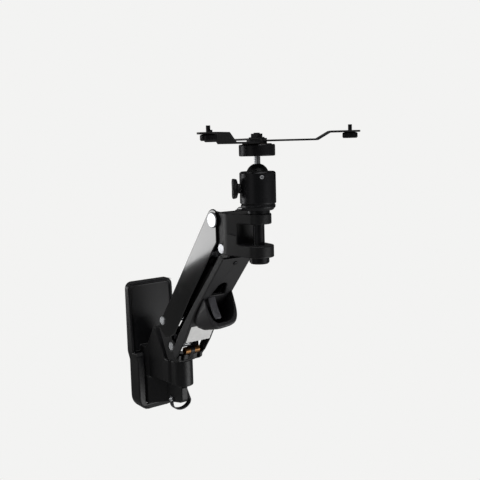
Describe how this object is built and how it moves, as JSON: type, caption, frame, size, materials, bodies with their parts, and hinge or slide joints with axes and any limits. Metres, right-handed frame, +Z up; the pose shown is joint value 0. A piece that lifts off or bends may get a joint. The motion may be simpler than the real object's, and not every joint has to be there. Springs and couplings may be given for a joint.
{
  "type": "projector wall mount",
  "caption": "Wall mount for a small projector: swivelling spring arm with a parallelogram link, ball head and three-arm adapter with thumb screws.",
  "frame": {"origin": "centre of the wall plate's back face", "axes": "+Y into the wall, +Z up along the wall, +X to the right seen from the room"},
  "size_m": [0.1866, 0.3115, 0.3626],
  "materials": {
    "black_gloss": "gloss",
    "black_satin": "satin",
    "black_plastic": "satin",
    "nylon": "satin",
    "steel": "satin",
    "chrome": "polished",
    "brass": "satin",
    "rubber": "matte",
    "label": "matte"
  },
  "bodies": {
    "wall_bracket": {"wall_plate": "steel", "wall_cover": "black_plastic", "swivel_bracket": "black_satin", "bracket_bolts": "steel", "upper_bush": "nylon", "lower_bush": "nylon", "cable_strap": "nylon", "strap_screw": "chrome"},
    "yoke": {"base_yoke": "black_satin", "swivel_shaft": "steel", "swivel_washer": "nylon", "swivel_nut": "steel", "base_upper_pin": "chrome", "base_lower_pin": "chrome", "trunnion_pin": "steel"},
    "adjuster": {"adjuster_screw": "brass"},
    "upper_link": {"upper_link": "black_gloss", "gas_cylinder": "black_satin", "gas_pin": "steel", "head_upper_pin": "chrome"},
    "gas_rod": {"gas_rod": "chrome"},
    "lower_link": {"lower_link": "black_satin", "lower_cover": "black_plastic", "cover_screws": "steel", "cable_hood": "black_plastic", "hood_tongue": "nylon", "blank_label": "label"},
    "head": {"head_bracket": "black_satin", "head_lower_pin": "chrome", "post_bushes": "nylon"},
    "ball_head": {"ball_housing": "black_satin", "ball_seat": "nylon", "set_screw": "chrome", "swivel_post": "black_satin", "post_cap": "black_satin"},
    "lock_knob": {"lock_knob": "black_plastic"},
    "ball": {"ball": "black_satin", "ball_neck": "chrome"},
    "platform": {"platform_disc": "black_satin", "platform_pad": "rubber", "hub_stud": "black_satin", "hub_nut": "black_satin"},
    "near_arm": {"near_arm": "black_satin"},
    "right_arm": {"right_arm": "black_satin"},
    "back_arm": {"back_arm": "black_satin"},
    "near_thumb_screw": {"near_thumb_screw": "black_satin"},
    "right_thumb_screw": {"right_thumb_screw": "black_satin"},
    "back_thumb_screw": {"back_thumb_screw": "black_satin"}
  },
  "joints": [
    {"name": "arm_swivel", "type": "hinge", "parent": "wall_bracket", "child": "yoke", "pos_m": [0, -0.085, 0], "axis": [0, 0, 1], "range_deg": [-70, 70]},
    {"name": "arm_lift", "type": "hinge", "parent": "yoke", "child": "upper_link", "pos_m": [0, -0.0735, 0.0435], "axis": [-1, 0, 0], "range_deg": [-65, 4]},
    {"name": "lower_link_pivot", "type": "hinge", "parent": "yoke", "child": "lower_link", "pos_m": [0, -0.0865, 0.0133], "axis": [-1, 0, 0], "range_deg": [-65, 4]},
    {"name": "head_level", "type": "hinge", "parent": "upper_link", "child": "head", "pos_m": [0, -0.19032, 0.17647], "axis": [-1, 0, 0], "range_deg": [-4, 65]},
    {"name": "gas_rod_slide", "type": "slide", "parent": "upper_link", "child": "gas_rod", "axis": [0, -0.66, 0.7513], "range_m": [-0.00116, 0.01728]},
    {"name": "adjuster_turn", "type": "hinge", "parent": "yoke", "child": "adjuster", "pos_m": [0, -0.1055, 0.01], "axis": [1, 0, 0], "continuous": true},
    {"name": "head_swivel", "type": "hinge", "parent": "head", "child": "ball_head", "pos_m": [0, -0.24592, 0.18567], "axis": [0, 0, 1], "continuous": true},
    {"name": "knob_turn", "type": "hinge", "parent": "ball_head", "child": "lock_knob", "pos_m": [0, -0.24592, 0.21217], "axis": [-0.9511, 0.309, 0], "continuous": true},
    {"name": "ball_tilt", "type": "hinge", "parent": "ball_head", "child": "ball", "pos_m": [0, -0.24592, 0.22567], "axis": [1, 0, 0], "range_deg": [-25, 25]},
    {"name": "platform_turn", "type": "hinge", "parent": "ball", "child": "platform", "pos_m": [0, -0.24592, 0.24477], "axis": [0, 0, 1], "continuous": true},
    {"name": "near_arm_turn", "type": "hinge", "parent": "platform", "child": "near_arm", "pos_m": [0, -0.24592, 0.25757], "axis": [0, 0, 1], "range_deg": [-20, 20]},
    {"name": "near_screw_turn", "type": "hinge", "parent": "near_arm", "child": "near_thumb_screw", "pos_m": [-0.08701, -0.28649, 0.26677], "axis": [0, 0, 1], "continuous": true},
    {"name": "right_arm_turn", "type": "hinge", "parent": "platform", "child": "right_arm", "pos_m": [0, -0.24592, 0.25757], "axis": [0, 0, 1], "range_deg": [-20, 20]},
    {"name": "right_screw_turn", "type": "hinge", "parent": "right_arm", "child": "right_thumb_screw", "pos_m": [0.07864, -0.30098, 0.26677], "axis": [0, 0, 1], "continuous": true},
    {"name": "back_arm_turn", "type": "hinge", "parent": "platform", "child": "back_arm", "pos_m": [0, -0.24592, 0.25757], "axis": [0, 0, 1], "range_deg": [-20, 20]},
    {"name": "back_screw_turn", "type": "hinge", "parent": "back_arm", "child": "back_thumb_screw", "pos_m": [0.00837, -0.15029, 0.26677], "axis": [0, 0, 1], "continuous": true}
  ],
  "couplings": [
    {"joint": "lower_link_pivot", "follows": "arm_lift", "ratio": 1},
    {"joint": "head_level", "follows": "arm_lift", "ratio": -1},
    {"joint": "gas_rod_slide", "follows": "arm_lift", "m_per_rad": -0.015146}
  ]
}
